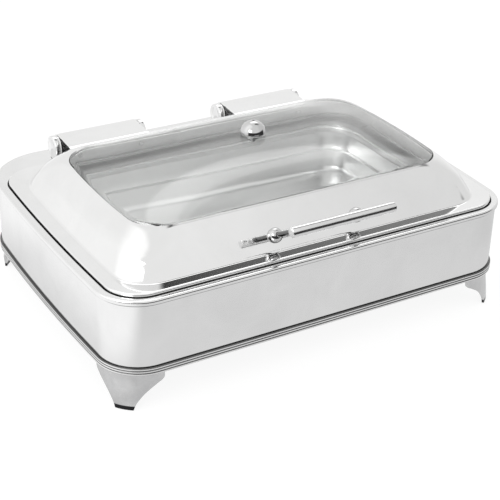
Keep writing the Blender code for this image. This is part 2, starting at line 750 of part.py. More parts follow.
def build():
    clear_scene()
    body = material("body_steel", (0.72, 0.72, 0.73), 1.0, 0.12)
    lid = material("lid_steel", (0.74, 0.74, 0.75), 1.0, 0.10)
    trim = material("trim_steel", (0.62, 0.62, 0.63), 1.0, 0.16)
    cast = material("foot_steel", (0.60, 0.60, 0.61), 1.0, 0.22)
    cover = material("cover_steel", (0.50, 0.50, 0.51), 1.0, 0.45)
    heater = material("heater_alu", (0.62, 0.62, 0.62), 1.0, 0.50)
    black = material("inlet_plastic", (0.02, 0.02, 0.022), 0.0, 0.45)
    wet = material("water_pan_steel", (0.62, 0.62, 0.62), 1.0, 0.32)
    food = material("food_pan_steel", (0.66, 0.66, 0.65), 1.0, 0.30)
    glass = material("window_glass", (0.95, 0.97, 0.97), 0.0, 0.02, 1.0)
    rubber = material("gasket_silicone", (0.03, 0.03, 0.03), 0.0, 0.60)
    chrome = material("chrome", (0.80, 0.80, 0.81), 1.0, 0.05)
    grip = material("grip_steel", (0.68, 0.68, 0.69), 1.0, 0.25)
    screw = material("screw_steel", (0.55, 0.55, 0.56), 1.0, 0.35)
    base_body(body)
    bead_trim(trim)
    foot("foot_fl", -1, -1, cast)
    foot("foot_fr", 1, -1, cast)
    foot("foot_rl", -1, 1, cast)
    foot("foot_rr", 1, 1, cast)
    base_cover(cover)
    heater_plate(heater)
    power_inlet(black)
    water_pan(wet)
    food_pan(food)
    lid_shell(lid)
    lid_glass(glass)
    glass_gasket(rubber)
    vent(chrome, rubber)
    handle(grip, chrome)
    for tag, mid in HINGES:
        hinge(tag, mid, (chrome, screw))


build()
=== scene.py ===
"""Roll top chafer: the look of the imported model, built round its fixed frame. Metres, +Z up."""
import math

import bmesh
import bpy
from mathutils import Matrix, Vector


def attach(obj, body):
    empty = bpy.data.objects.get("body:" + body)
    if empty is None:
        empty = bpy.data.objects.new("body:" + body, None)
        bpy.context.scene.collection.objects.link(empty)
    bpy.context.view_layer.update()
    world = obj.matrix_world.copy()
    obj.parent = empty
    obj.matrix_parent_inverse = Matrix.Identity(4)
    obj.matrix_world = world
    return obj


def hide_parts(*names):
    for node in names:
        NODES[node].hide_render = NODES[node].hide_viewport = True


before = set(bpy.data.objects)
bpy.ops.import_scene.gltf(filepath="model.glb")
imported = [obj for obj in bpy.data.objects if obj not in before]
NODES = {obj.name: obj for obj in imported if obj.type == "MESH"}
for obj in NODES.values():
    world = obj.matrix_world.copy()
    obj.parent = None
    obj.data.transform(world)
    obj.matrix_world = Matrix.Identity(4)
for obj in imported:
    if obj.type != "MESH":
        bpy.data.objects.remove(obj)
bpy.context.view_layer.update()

PAN_Y = -0.00825
PAN_A, PAN_B, PAN_R, PAN_R_MIN = 0.265, 0.1625, 0.060, 0.030
SHEET = 0.001
ARC = 14
RIM_A, RIM_F, RIM_B = 0.3105, -0.211, 0.256
RIM_RF, RIM_RB, BOW = 0.060, 0.090, 0.0038
RIM_Z, BODY_Z, LEDGE_Z = 0.158, 0.0515, 0.152
WELL_A, WELL_F, WELL_B, WELL_R = 0.2988, -0.2014, 0.2026, 0.048
SKIRT_A, SKIRT_F, SKIRT_B, SKIRT_R = 0.2976, -0.2002, 0.2012, 0.047
FLANGE_Z = 0.1625
DOME_A, DOME_Y, DOME_RF, DOME_RB = 0.278, 0.1825, 0.050, 0.060
WIN_A, WIN_F, WIN_B = 0.2375, -0.1378, 0.1280
WIN_RF, WIN_RB, WIN_BOW, WIN_Z = 0.044, 0.056, 0.003, 0.213
CROWN, VENT_Y = 0.032, -0.0065
BAR_Y, BAR_Z, BAR_R, BAR_HALF = -0.2325, 0.217, 0.007, 0.0775
POST_X, POST_TILT, POST_REACH = 0.0625, math.radians(30.6), 0.0708
HINGE_Y, HINGE_Z = 0.220, 0.1758
HINGES = (("l", -0.1325), ("r", 0.1390))
HINGE_HALF, CAP_T, DRUM_R = 0.0725, 0.007, 0.016
LEAF_HALF, LEAF_SCREW, LEAF_T = 0.0625, 0.048, 0.0016
WALL_Y, WALL_Z = 0.1770, 0.1715          # a point on the dome's rear wall, under the leaves
WALL_RUN, WALL_FALL = 0.0115, 0.0156     # how far that wall runs back while it falls
INLET_X, INLET_Z = 0.170, 0.104
GAP = 0.0003
GLASS_T = 0.0040
BEAD_PITCH = 0.0035
CROWN_POWER_X, CROWN_POWER_Y = 2.6, 2.8
VENT_HOLE_R, BORE_R = 0.0045, 0.00405

# studio, in the scene's own units
CAMERA_AT = (-0.8411, -1.41775, 0.9574)
CAMERA_ANGLES = (-30.953, 28.648, 1.592)  # azimuth, elevation, roll, degrees
CAMERA_LENS, SENSOR = 93.4056, 36.0
FLOOR_GLOW, FLOOR_MATT = 0.86, 0.20
FLOOR_TONE, FLOOR_TONE_MAX, FLOOR_FRONT = 0.765, 1.08, 0.06
SURROUND = 0.92
PATCH_CUT, EDGE_CUT = -0.94, -0.95
LIGHT_AIM = (0.0, 0.0, 0.15)


# ---- node helpers ---------------------------------------------------------

def link(tree, a, b):
    tree.links.new(a, b)


def node(tree, kind, **values):
    made = tree.nodes.new(kind)
    for key, value in values.items():
        setattr(made, key, value)
    return made


def math_node(tree, operation, a, b=None, clamp=False):
    made = node(tree, "ShaderNodeMath", operation=operation, use_clamp=clamp)
    for i, v in enumerate((a, b)):
        if v is None:
            continue
        if isinstance(v, (int, float)):
            made.inputs[i].default_value = v
        else:
            link(tree, v, made.inputs[i])
    return made.outputs[0]


def noise(tree, vector, scale, detail=3.0, rough=0.55, stretch=None, distort=0.0):
    source = vector
    if stretch:
        mapping = node(tree, "ShaderNodeMapping")
        mapping.inputs["Scale"].default_value = stretch
        link(tree, vector, mapping.inputs["Vector"])
        source = mapping.outputs[0]
    made = node(tree, "ShaderNodeTexNoise")
    made.inputs["Scale"].default_value = scale
    made.inputs["Detail"].default_value = detail
    made.inputs["Roughness"].default_value = rough
    made.inputs["Distortion"].default_value = distort
    link(tree, source, made.inputs["Vector"])
    return made.outputs["Fac"]


def ramp(tree, factor, stops):
    made = node(tree, "ShaderNodeValToRGB")
    bar = made.color_ramp
    while len(bar.elements) < len(stops):
        bar.elements.new(0.5)
    for element, (place, colour) in zip(bar.elements, stops):
        element.position = place
        if isinstance(colour, (int, float)):
            colour = (colour, colour, colour)
        element.color = (colour[0], colour[1], colour[2], 1.0)
    link(tree, factor, made.inputs[0])
    return made.outputs[0]


def remap(tree, value, a, b, lo, hi, smooth=False):
    made = node(tree, "ShaderNodeMapRange")
    made.interpolation_type = "SMOOTHSTEP" if smooth else "LINEAR"
    for key, v in (("From Min", a), ("From Max", b), ("To Min", lo), ("To Max", hi)):
        made.inputs[key].default_value = v
    link(tree, value, made.inputs["Value"])
    return made.outputs[0]


def bump(tree, height, strength, distance, normal=None):
    made = node(tree, "ShaderNodeBump")
    made.inputs["Strength"].default_value = strength
    made.inputs["Distance"].default_value = distance
    link(tree, height, made.inputs["Height"])
    if normal is not None:
        link(tree, normal, made.inputs["Normal"])
    return made.outputs[0]


def new_material(name):
    mat = bpy.data.materials.new(name)
    mat.use_nodes = True
    tree = mat.node_tree
    shader = tree.nodes["Principled BSDF"]
    coord = node(tree, "ShaderNodeTexCoord")
    return mat, tree, shader, coord.outputs["Object"]


def steel(name, dark, light, rough, spread=0.06, grain=(1.0, 60.0, 60.0), grain_depth=0.15,
          wave=0.10, wave_scale=9.0, scratch=0.10, shade_creases=()):
    """Stainless sheet: faint polishing grain, fine scratches, finger smudges, rolled waviness, and
    painted shade darkening the creases at given heights (height, half width, level)."""
    mat, tree, shader, pos = new_material(name)
    smudge = noise(tree, pos, 14.0, 4.0, 0.6, distort=0.6)
    colour = ramp(tree, smudge, [(0.30, dark), (0.70, light)])
    # painted shade: the base colour is darkened in bands round each crease height
    if shade_creases:
        split = node(tree, "ShaderNodeSeparateXYZ")
        link(tree, pos, split.inputs[0])
        keep = 1.0
        for height, half, level in shade_creases:
            away = math_node(tree, "SUBTRACT", split.outputs["Z"], height)
            off = math_node(tree, "ABSOLUTE", away)
            shade = remap(tree, off, 0.55 * half, half, level, 1.0, smooth=True)
            keep = math_node(tree, "MULTIPLY", shade, keep)
        scale = node(tree, "ShaderNodeVectorMath", operation="SCALE")
        link(tree, colour, scale.inputs[0])
        link(tree, keep, scale.inputs["Scale"])
        colour = scale.outputs[0]
    link(tree, colour, shader.inputs["Base Color"])
    shader.inputs["Metallic"].default_value = 1.0
    lines = noise(tree, pos, 26.0, 4.0, 0.7, stretch=grain)
    worn = noise(tree, pos, 5.0, 3.0, 0.6)
    mix = math_node(tree, "ADD", math_node(tree, "MULTIPLY", lines, 0.6),
                    math_node(tree, "MULTIPLY", worn, 0.4))
    link(tree, remap(tree, mix, 0.3, 0.7, rough - 0.5 * spread, rough + 0.5 * spread),
         shader.inputs["Roughness"])
    low = noise(tree, pos, wave_scale, 1.0, 0.4)
    first = bump(tree, low, wave, 0.004)
    second = bump(tree, lines, grain_depth, 0.00008, first)
    fine = noise(tree, pos, 160.0, 2.0, 0.6, stretch=(0.25, 3.0, 3.0), distort=1.5)
    marks = ramp(tree, fine, [(0.62, 0.0), (0.70, 1.0)])
    third = bump(tree, marks, scratch, 0.00005, second)
    link(tree, third, shader.inputs["Normal"])
    return mat


def chrome(name, level=0.86, rough=0.035):
    """Bright plate with a few hairlines and a trace of handling haze."""
    mat, tree, shader, pos = new_material(name)
    haze = noise(tree, pos, 60.0, 4.0, 0.6, distort=0.5)
    link(tree, ramp(tree, haze, [(0.3, level - 0.05), (0.7, level)]), shader.inputs["Base Color"])
    shader.inputs["Metallic"].default_value = 1.0
    link(tree, remap(tree, haze, 0.3, 0.75, rough * 0.5, rough * 2.2), shader.inputs["Roughness"])
    hair = noise(tree, pos, 300.0, 2.0, 0.6, stretch=(0.3, 2.0, 1.0), distort=2.0)
    link(tree, bump(tree, hair, 0.05, 0.00005), shader.inputs["Normal"])
    return mat


def rubber(name):
    """Black rubber under a film of dust."""
    level = 0.012
    mat, tree, shader, pos = new_material(name)
    dust = noise(tree, pos, 220.0, 5.0, 0.65)
    link(tree, ramp(tree, dust, [(0.3, level), (0.8, level * 3.0)]), shader.inputs["Base Color"])
    link(tree, remap(tree, dust, 0.2, 0.8, 0.42, 0.66), shader.inputs["Roughness"])
    link(tree, bump(tree, dust, 0.25, 0.0001), shader.inputs["Normal"])
    return mat


def plastic(name):
    """Fine-textured black moulding."""
    mat, tree, shader, pos = new_material(name)
    grit = noise(tree, pos, 900.0, 3.0, 0.6)
    link(tree, ramp(tree, grit, [(0.2, 0.010), (0.8, 0.022)]), shader.inputs["Base Color"])
    link(tree, remap(tree, grit, 0.2, 0.8, 0.38, 0.58), shader.inputs["Roughness"])
    link(tree, bump(tree, grit, 0.35, 0.0001), shader.inputs["Normal"])
    return mat


def glass(name):
    """Clear toughened glass with the faintest tint, a film in its roughness and a slow ripple."""
    mat, tree, shader, pos = new_material(name)
    film = noise(tree, pos, 18.0, 4.0, 0.6, distort=0.8)
    link(tree, ramp(tree, film, [(0.3, (0.985, 0.995, 0.988)), (0.7, (0.992, 0.998, 0.994))]),
         shader.inputs["Base Color"])
    shader.inputs["Transmission Weight"].default_value = 1.0
    shader.inputs["IOR"].default_value = 1.5
    link(tree, remap(tree, film, 0.35, 0.75, 0.0, 0.012), shader.inputs["Roughness"])
    ripple = noise(tree, pos, 4.0, 1.0, 0.4)
    link(tree, bump(tree, ripple, 0.004, 0.003), shader.inputs["Normal"])
    return mat


def foot_steel(name):
    """Polished casting with soft pitting, and a dark band painted over its lowest 6 mm, at the toe.
    """
    mat, tree, shader, pos = new_material(name)
    cloud = noise(tree, pos, 40.0, 4.0, 0.6)
    body = ramp(tree, cloud, [(0.3, (0.58, 0.58, 0.585)), (0.7, (0.74, 0.74, 0.74))])
    split = node(tree, "ShaderNodeSeparateXYZ")
    link(tree, pos, split.inputs[0])
    low = remap(tree, split.outputs["Z"], 0.0056, 0.0064, 1.0, 0.0, smooth=True)
    mix = node(tree, "ShaderNodeMix", data_type="RGBA")
    mix.inputs["B"].default_value = (0.03, 0.03, 0.032, 1.0)
    link(tree, low, mix.inputs["Factor"])
    link(tree, body, mix.inputs["A"])
    link(tree, mix.outputs["Result"], shader.inputs["Base Color"])
    shader.inputs["Metallic"].default_value = 1.0
    link(tree, remap(tree, cloud, 0.3, 0.7, 0.16, 0.28), shader.inputs["Roughness"])
    pits = noise(tree, pos, 260.0, 3.0, 0.6)
    first = bump(tree, cloud, 0.12, 0.0015)
    link(tree, bump(tree, pits, 0.10, 0.0001, first), shader.inputs["Normal"])
    return mat


# ---- mesh helpers ---------------------------------------------------------

def outline(a, front, back, rf, rb, bow=0.0):
    """Rounded rectangle with extra points where the straights meet the corners."""
    pts = []
    y0 = front + rf
    y1 = back - rb
    xf = a - bow - rf
    xb = a - bow - rb
    corners = ((1, y1, rb, 0), (-1, y1, rb, 90), (-1, y0, rf, 180), (1, y0, rf, 270))
    for side, cy, r, start in corners:
        cx = side * (a - bow - r)
        for i in range(ARC + 1):
            ang = math.radians(start + 90.0 * i / ARC)
            pts.append((cx + r * math.cos(ang), cy + r * math.sin(ang)))
        if start in (90, 270):
            for k in range(1, 10):
                t = -1.0 + 0.2 * k
                t = math.copysign(abs(t) ** 0.75, t)
                y = 0.5 * (y0 + y1) + side * 0.5 * (y1 - y0) * t
                pts.append((side * (a - bow * t * t), y))
        else:
            x0, x1, y = (xb, -xb, back) if start == 0 else (-xf, xf, front)
            for t in (0.02, 0.06, 0.2, 0.35, 0.5, 0.65, 0.8, 0.94, 0.98):
                pts.append((x0 + (x1 - x0) * t, y))
    return pts


def body_line(d):
    return outline(RIM_A - d, RIM_F + d, RIM_B - d, RIM_RF - d, RIM_RB - d, BOW)


def well_line(d):
    return outline(WELL_A - d, WELL_F + d, WELL_B - d, WELL_R - d, WELL_R - d, BOW)


def skirt_line(d):
    return outline(SKIRT_A - d, SKIRT_F + d, SKIRT_B - d, SKIRT_R - d, SKIRT_R - d, BOW)


def dome_line(d, rear):
    t = min(max(d / 0.043, 0.0), 1.0)
    return outline(DOME_A - 0.94 * d, -DOME_Y + 1.04 * d, DOME_Y - rear,
                   DOME_RF + (WIN_RF - DOME_RF) * t, DOME_RB + (WIN_RB - DOME_RB) * t, WIN_BOW)


def window_line(d):
    return outline(WIN_A - d, WIN_F + d, WIN_B - d, WIN_RF - d, WIN_RB - d, WIN_BOW)


def pan_line(d):
    r = max(PAN_R_MIN, PAN_R - d)
    return outline(PAN_A - d, -PAN_B + d, PAN_B - d, r, r)


def stack(rings, closed=False):
    n = len(rings[0][0])
    verts = []
    for line, z in rings:
        for k in range(n):
            verts.append((line[k][0], line[k][1], z[k] if isinstance(z, (list, tuple)) else z))
    faces = []
    count = len(rings)
    for i in range(count if closed else count - 1):
        j = (i + 1) % count
        for k in range(n):
            m = (k + 1) % n
            faces.append((i * n + k, i * n + m, j * n + m, j * n + k))
    if not closed:
        faces.append(tuple(reversed(range(n))))
        faces.append(tuple((count - 1) * n + k for k in range(n)))
    return verts, faces


def lathe(profile, place, steps=48, closed=False):
    verts = []
    for r, h in profile:
        for k in range(steps):
            ang = 2.0 * math.pi * k / steps
            verts.append(place @ Vector((r * math.cos(ang), r * math.sin(ang), h)))
    faces = []
    count = len(profile)
    for i in range(count if closed else count - 1):
        j = (i + 1) % count
        for k in range(steps):
            m = (k + 1) % steps
            faces.append((i * steps + k, i * steps + m, j * steps + m, j * steps + k))
    if not closed:
        faces.append(tuple(reversed(range(steps))))
        faces.append(tuple((count - 1) * steps + k for k in range(steps)))
    return verts, faces


def arc(cx, cy, r, start, end, steps):
    """Points round (cx, cy), angles in degrees, both ends in."""
    out = []
    for i in range(steps + 1):
        ang = math.radians(start + (end - start) * i / steps)
        out.append((cx + r * math.cos(ang), cy + r * math.sin(ang)))
    return out


def spline(knots, count):
    """Catmull-Rom through knots of any width, sampled evenly along each span."""
    ext = [tuple(2 * a - b for a, b in zip(knots[0], knots[1]))] + list(knots)
    ext.append(tuple(2 * a - b for a, b in zip(knots[-1], knots[-2])))
    out = []
    for i in range(1, len(ext) - 2):
        p0, p1, p2, p3 = ext[i - 1:i + 3]
        for s in range(count):
            t = s / count
            out.append(tuple(0.5 * (2 * b + (c - a) * t + (2 * a - 5 * b + 4 * c - d) * t * t
                                    + (3 * b - a - 3 * c + d) * t ** 3)
                             for a, b, c, d in zip(p0, p1, p2, p3)))
    out.append(tuple(knots[-1]))
    return out


def smooth_run(knots, count):
    """Cubic through unevenly spaced knots, its slopes weighed by the lengths on both sides."""
    points = [Vector(k) for k in knots]
    spans = [(b - a).length for a, b in zip(points, points[1:])]
    rates = [(b - a) / h for a, b, h in zip(points, points[1:], spans)]
    slopes = [rates[0]]
    for i in range(1, len(points) - 1):
        before, after = spans[i - 1], spans[i]
        slopes.append((rates[i - 1] * after + rates[i] * before) / (before + after))
    slopes.append(rates[-1])
    out = []
    for i, h in enumerate(spans):
        for s in range(count):
            t = s / count
            p = points[i] * (2 * t ** 3 - 3 * t * t + 1) + points[i + 1] * (3 * t * t - 2 * t ** 3)
            p += (slopes[i] * (t ** 3 - 2 * t * t + t) + slopes[i + 1] * (t ** 3 - t * t)) * h
            out.append(tuple(p))
    out.append(tuple(points[-1]))
    return out


def piece(name, solid, mat, body, nodes, crease=38.0):
    """A visible piece in place of CAD nodes, riding on a body."""
    verts, faces = solid
    mesh = bpy.data.meshes.new(name)
    mesh.from_pydata([(v[0], v[1] + PAN_Y, v[2]) for v in verts], [], faces)
    bm = bmesh.new()
    bm.from_mesh(mesh)
    bmesh.ops.recalc_face_normals(bm, faces=bm.faces)
    bm.to_mesh(mesh)
    bm.free()
    mesh.shade_smooth()
    mesh.set_sharp_from_angle(angle=math.radians(crease))
    mesh.materials.append(mat)
    obj = bpy.data.objects.new(name, mesh)
    bpy.context.scene.collection.objects.link(obj)
    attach(obj, body)
    if nodes:
        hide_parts(*nodes)
    return obj


def box(x0, x1, y0, y1, z0, z1):
    verts = [(x, y, z) for z in (z0, z1) for x, y in ((x0, y0), (x1, y0), (x1, y1), (x0, y1))]
    faces = [(0, 3, 2, 1), (4, 5, 6, 7), (0, 1, 5, 4), (1, 2, 6, 5), (2, 3, 7, 6), (3, 0, 4, 7)]
    return verts, faces


def upright(x, y, z):
    return Matrix.Translation((x, y, z))


def along_x(x, y, z):
    return Matrix.Translation((x, y, z)) @ Matrix.Rotation(math.pi / 2.0, 4, "Y")


def aimed(x, y, z, direction):
    turn = Vector((0.0, 0.0, 1.0)).rotation_difference(direction).to_matrix().to_4x4()
    return Matrix.Translation((x, y, z)) @ turn


def bevel(obj, width, segments, angle):
    mod = obj.modifiers.new("edge", "BEVEL")
    mod.width = width
    mod.segments = segments
    mod.limit_method = "ANGLE"
    mod.angle_limit = math.radians(angle)


# ---- materials ------------------------------------------------------------

# painted shade in the crease above the beads and under the rim's fold
BODY = steel("body_sheet", 0.80, 0.86, 0.13, grain=(1.0, 40.0, 40.0), grain_depth=0.06,
             wave=0.03, scratch=0.04,
             shade_creases=((BODY_Z + 0.0111, 0.0010, 0.24), (RIM_Z - 0.0072, 0.0016, 0.30)))
LID = steel("lid_sheet", 0.84, 0.88, 0.07, spread=0.03, grain=(1.0, 30.0, 30.0),
            grain_depth=0.012, wave=0.008, scratch=0.02)
# base colour set high: painted light on the lid's inner face
LINING = steel("lid_lining", 0.88, 0.93, 0.24, spread=0.04, grain=(1.0, 12.0, 12.0),
               grain_depth=0.03, wave=0.0, scratch=0.03)
SHADE = steel("groove_shade", 0.12, 0.17, 0.35, wave=0.0, scratch=0.05)
# painted shade in the grooves between the beads
TRIM = steel("bead_sheet", 0.80, 0.88, 0.10, wave=0.0, scratch=0.05,
             shade_creases=tuple((BODY_Z + k * BEAD_PITCH, 0.0009, 0.16) for k in range(4)))
FEET = foot_steel("cast_feet")
COVER = steel("mill_sheet", 0.42, 0.55, 0.42, spread=0.14, grain_depth=0.4, wave=0.12,
              scratch=0.2)
HEATER = steel("element_plate", 0.50, 0.62, 0.48, spread=0.18, grain_depth=0.3, scratch=0.1)
WATER = steel("water_pan_sheet", 0.72, 0.80, 0.30, spread=0.12, grain_depth=0.2)
# base colour set high: painted light inside the pan
FOOD = steel("food_pan_sheet", 0.91, 0.95, 0.30, spread=0.05, grain=(1.0, 14.0, 14.0),
             grain_depth=0.05, wave=0.02, scratch=0.05)
GRIP = steel("grip_satin", 0.74, 0.82, 0.20, spread=0.10, grain=(80.0, 1.0, 1.0),
             grain_depth=0.3, wave=0.0, scratch=0.05)
SCREW = steel("screw_steel_look", 0.55, 0.68, 0.26, spread=0.12, grain_depth=0.2, wave=0.0)
CHROME = chrome("bright_chrome")
# painted dark reflection: the studs' chrome base colour is darkened to 0.20
STUD_SHADE_CHROME = chrome("stud_shade_chrome", 0.20, 0.05)
# painted shade: rosettes and vent button get chrome darkened below the bright chrome
BOSS = chrome("boss_chrome", 0.66, 0.04)
WINDOW = glass("clear_window")
SEAL_AND_HOLE_SHADE = rubber("black_seal_and_hole_shade")
# black rubber for the seals and washer, also laid in the vent's bore as painted shade
INLET = plastic("inlet_moulding")


# ---- body -----------------------------------------------------------------

def make_body():
    opening = outline(0.272, -0.174, 0.174, 0.060, 0.060, 0.0001)
    rings = [(body_line(0.0030), BODY_Z), (body_line(0.0030), BODY_Z + 0.002),
             (body_line(0.0030), 0.5 * (BODY_Z + RIM_Z)), (body_line(0.0030), RIM_Z - 0.0090),
             (body_line(0.0030), RIM_Z - 0.0070), (body_line(0.0026), RIM_Z - 0.0065),
             (body_line(0.0012), RIM_Z - 0.0065)]
    rings += [(body_line(-d), z) for d, z in arc(-0.0011, RIM_Z - 0.0054, 0.0011, -90, 0, 4)]
    rings += [(body_line(-d), z) for d, z in arc(-0.0026, RIM_Z - 0.0026, 0.0026, 0, 90, 7)]
    rings += [(body_line(0.0040), RIM_Z), (well_line(-0.0030), RIM_Z)]
    rings += [(well_line(d), z) for d, z in arc(-0.0017, RIM_Z - 0.0017, 0.0017, 90, 0, 6)]
    rings += [(well_line(0.0), LEDGE_Z + 0.0008), (well_line(0.0008), LEDGE_Z), (opening, LEDGE_Z),
              (opening, LEDGE_Z - SHEET), (well_line(-SHEET), LEDGE_Z - SHEET),
              (well_line(-SHEET), RIM_Z - 0.0018), (well_line(-0.0018), RIM_Z - SHEET),
              (body_line(0.0026), RIM_Z - SHEET), (body_line(0.0011), RIM_Z - 0.0026),
              (body_line(0.0011), RIM_Z - 0.0055), (body_line(0.0040), RIM_Z - 0.0055),
              (body_line(0.0040), BODY_Z + SHEET), (body_line(0.0300), BODY_Z + SHEET),
              (body_line(0.0300), BODY_Z)]
    obj = piece("body_shell", stack(rings, closed=True), BODY, "body", ["base_body"])
    shade_rings(obj, len(rings[0][0]), SHADE, (28, 29))
    cutter = piece_cutter("inlet_opening", box(INLET_X - 0.0143, INLET_X + 0.0143, RIM_B - 0.010,
                          RIM_B + 0.004, INLET_Z - 0.0108, INLET_Z + 0.0108))
    apply_cut(obj, cutter)


def shade_rings(obj, around, mat, which):
    """Give the bands that start at the given rings of a stack another material."""
    obj.data.materials.append(mat)
    index = len(obj.data.materials) - 1
    for poly in obj.data.polygons:
        if poly.index // around in which:
            poly.material_index = index


def piece_cutter(name, solid):
    verts, faces = solid
    mesh = bpy.data.meshes.new(name)
    mesh.from_pydata([(v[0], v[1] + PAN_Y, v[2]) for v in verts], [], faces)
    obj = bpy.data.objects.new(name, mesh)
    bpy.context.scene.collection.objects.link(obj)
    return obj


def apply_modifiers(obj):
    bpy.context.view_layer.update()
    deps = bpy.context.evaluated_depsgraph_get()
    mesh = bpy.data.meshes.new_from_object(obj.evaluated_get(deps))
    obj.modifiers.clear()
    obj.data = mesh


def apply_cut(obj, cutter):
    mod = obj.modifiers.new("cut", "BOOLEAN")
    mod.operation = "DIFFERENCE"
    mod.solver = "EXACT"
    mod.object = cutter
    apply_modifiers(obj)
    bpy.data.objects.remove(cutter)
    obj.data.shade_smooth()
    obj.data.set_sharp_from_angle(angle=math.radians(38.0))


def make_bead():
    rings = [(body_line(0.0027), BODY_Z)]
    for k in range(3):
        base = BODY_Z + k * BEAD_PITCH
        for i in range(7):
            ang = math.radians(-80.0 + 160.0 * i / 6)
            rings.append((body_line(0.0013 - 0.0013 * math.cos(ang) ** 0.7),
                          base + 0.5 * BEAD_PITCH + 0.49 * BEAD_PITCH * math.sin(ang)))
    rings.append((body_line(0.0027), BODY_Z + 3 * BEAD_PITCH))
    piece("bead_roll", stack(rings, closed=True), TRIM, "body", ["bead_trim"], 50.0)


def corner_point(sx, sy, s, inset):
    r = RIM_RF if sy < 0 else RIM_RB
    cx = sx * (RIM_A - BOW - r)
    cy = RIM_F + r if sy < 0 else RIM_B - r
    half = r * math.pi / 4.0
    t = min(max(s, -half), half)
    ang = math.atan2(sy, sx) + t / r
    rr = r - inset
    return (cx + rr * math.cos(ang) - math.sin(ang) * (s - t),
            cy + rr * math.sin(ang) + math.cos(ang) * (s - t))


def make_foot(tag, sx, sy):
    """Cast corner foot: wraps the corner, ogee sides running down to a narrow toe."""
    top = BODY_Z - GAP
    knots = [(0.0, 0.0125, 0.0), (0.0060, 0.0145, 0.0003), (0.0130, 0.0185, 0.0010),
             (0.0225, 0.0265, 0.0021), (0.0295, 0.0355, 0.0031), (0.0350, 0.0455, 0.0038),
             (0.0385, 0.0525, 0.0042), (0.0425, 0.0560, 0.0045), (top, 0.0560, 0.0046)]
    rows = spline(knots, 4) + [(top, 0.0560, 0.0100), (top, 0.0560, 0.0190)]
    wall = 0.0032
    loop = list(rows)
    loop.append((top - wall, 0.0560, 0.0190))
    loop.append((top - wall, 0.0560, 0.0046 + wall))
    back = [r for r in spline(knots, 4)[:-1] if r[0] < top - wall - 0.0002]
    loop += [(z, w, inset + wall) for z, w, inset in reversed(back)]
    n = len(loop)
    cols = 33
    verts = []
    for c in range(cols):
        t = -1.0 + 2.0 * c / (cols - 1)
        for z, w, inset in loop:
            x, y = corner_point(sx, sy, t * w, inset)
            verts.append((x, y, z))
    faces = []
    for c in range(cols - 1):
        for k in range(n):
            m = (k + 1) % n
            faces.append((c * n + k, c * n + m, (c + 1) * n + m, (c + 1) * n + k))
    last = len(rows) - 3
    nb = len(back)
    for c in (0, cols - 1):
        b = c * n
        for k in range(nb - 1):
            faces.append((b + k, b + k + 1, b + n - 2 - k, b + n - 1 - k))
        edge = [b + k for k in range(nb - 1, last + 3)] + [b + last + 3, b + last + 4, b + n - nb]
        faces.append(tuple(dict.fromkeys(edge)))
    obj = piece("cast_foot_" + tag, (verts, faces), FEET, "body", ["foot_" + tag],
                50.0)
    bevel(obj, 0.0005, 2, 60.0)


# ---- pans -----------------------------------------------------------------

def make_food_pan():
    """Full-size pan. Known fault: rim and top sweep the outer side of their bend, so the sheet
    folds back outward under the rim before the wall. The CAD pan bends straight down."""
    outer = [(0.0360, 0.0880), (0.0275, 0.0902), (0.0243, 0.0975), (0.0215, 0.1238),
             (0.0183, 0.1262), (0.0145, 0.1505)]
    floor_o = arc(0.0372, 0.1003, 0.0123, 270, 187, 8)
    wall_o = [(0.0241, 0.1060), (0.0222, 0.1215)] + arc(0.0200, 0.1238, 0.0018, 190, 130, 3)
    wall_o += [(0.0183, 0.1264), (0.0146, 0.1480)]
    rim = arc(0.0102, 0.1506, 0.0046, 180, 95, 6)
    lip = [(0.0040, 0.1552), (0.0030, 0.1550), (0.0024, 0.1543)]
    lip += arc(0.0013, 0.1549, 0.0013, 230, 90, 8)
    top = [(0.0060, 0.1562)] + arc(0.0112, 0.1506, 0.0056, 95, 178, 7)
    wall_i = [(0.0156, 0.1480), (0.0193, 0.1258)] + arc(0.0210, 0.1236, 0.0018, 130, 190, 3)
    wall_i += [(0.0232, 0.1213), (0.0251, 0.1060)]
    floor_i = arc(0.0382, 0.1013, 0.0123, 187, 270, 9)
    path = floor_o + wall_o + rim + lip + top + wall_i + floor_i
    rings = [(pan_line(d), z) for d, z in path]
    rings.insert(0, (pan_line(0.060), 0.0880))
    rings.append((pan_line(0.060), 0.0890))
    piece("food_pan_pressed", stack(rings), FOOD, "food_pan", ["food_pan"])


def make_water_pan():
    def line(a, b, r):
        return outline(a, -b, b, r, r)
    path = [(0.2380, 0.1370, 0.036, 0.0600), (0.2430, 0.1420, 0.040, 0.0602),
            (0.2458, 0.1448, 0.043, 0.0606), (0.2480, 0.1470, 0.045, 0.0618),
            (0.2495, 0.1485, 0.0465, 0.0640), (0.2503, 0.1492, 0.047, 0.0670),
            (0.2583, 0.1558, 0.0558, 0.1480), (0.2588, 0.1563, 0.056, 0.1505),
            (0.2598, 0.1572, 0.057, 0.1518), (0.2612, 0.1586, 0.058, 0.1523),
            (0.2880, 0.1900, 0.062, 0.1523), (0.2880, 0.1900, 0.062, 0.1533),
            (0.2608, 0.1582, 0.058, 0.1533), (0.2590, 0.1565, 0.056, 0.1525),
            (0.2578, 0.1553, 0.055, 0.1506), (0.2573, 0.1548, 0.055, 0.1480),
            (0.2493, 0.1482, 0.046, 0.0672), (0.2484, 0.1474, 0.0455, 0.0644),
            (0.2470, 0.1460, 0.044, 0.0626), (0.2450, 0.1440, 0.042, 0.0614),
            (0.2380, 0.1370, 0.036, 0.0610)]
    rings = [(line(a, b, r), z) for a, b, r, z in path]
    piece("water_pan_pressed", stack(rings), WATER, "body", ["water_pan"])


# ---- lid ------------------------------------------------------------------

DOME = [(0.0012, 0.0012, 0.1645), (0.0050, 0.0055, 0.1715), (0.0100, 0.0119, 0.1802),
        (0.0140, 0.0168, 0.1868), (0.0175, 0.0205, 0.1909), (0.0225, 0.0258, 0.1962),
        (0.0305, 0.0345, 0.2036), (0.0385, 0.0459, 0.2098), (0.0416, 0.0531, 0.2117)]


